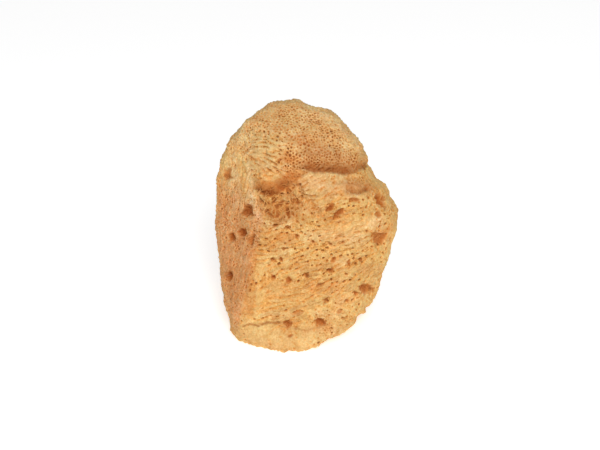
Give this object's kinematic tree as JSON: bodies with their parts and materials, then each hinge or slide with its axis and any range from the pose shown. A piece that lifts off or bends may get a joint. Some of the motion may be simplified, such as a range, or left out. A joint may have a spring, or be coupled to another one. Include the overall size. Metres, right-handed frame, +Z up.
{
  "type": "sea sponge",
  "caption": "Natural sea sponge: a wedge with a domed, fine-pored crown over a fold, cut flat down its front, its left side and its root, that soaks up water and stands on the root cut.",
  "frame": {"origin": "middle of the footprint's bounding box, on the flat root cut", "axes": "+Z up out of the root cut towards the crown, +Y from the front cut to the back skin, +X to the right as seen from the front"},
  "size_m": [0.0744, 0.054, 0.0978],
  "materials": {
    "sponge": "matt dry spongin fibre, golden tan, darker orange-brown inside the holes and the fold"
  },
  "bodies": {
    "root": {"sponge": "sponge"}
  },
  "joints": []
}
